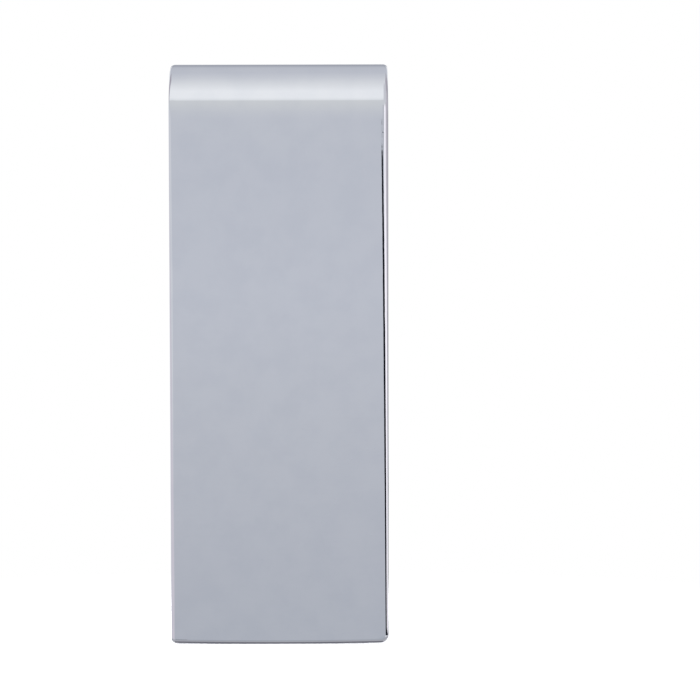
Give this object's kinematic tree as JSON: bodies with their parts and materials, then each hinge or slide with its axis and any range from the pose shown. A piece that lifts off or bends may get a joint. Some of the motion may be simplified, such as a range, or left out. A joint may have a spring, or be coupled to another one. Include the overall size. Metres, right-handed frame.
{
  "type": "money clip",
  "caption": "Polished metal strip bent over a bow into a flat front plate and a sprung arm that pinches folded notes against it, with a flared thumb lip.",
  "frame": {"origin": "centre of the front plate's flat outer face", "axes": "+X across the strip's width, -Y out of the front plate's outer face, +Z along the clip from the plate's free end to the bow"},
  "size_m": [0.022, 0.0072, 0.058],
  "materials": {
    "polished_silver": "polished"
  },
  "bodies": {
    "plate": {"front_plate": "polished_silver", "spring_bow": "polished_silver"},
    "arm": {"spring_arm": "polished_silver", "pinch_bend": "polished_silver", "thumb_lip": "polished_silver"}
  },
  "joints": [
    {"name": "arm_flex", "type": "hinge", "parent": "plate", "child": "arm", "pos_m": [0, 0.0038, 0.0291], "axis": [1, 0, 0], "range_deg": [0, 7], "stiffness_Nm_per_rad": 1.8, "springref_deg": -1.15, "deforming": ["spring_bow"]}
  ]
}
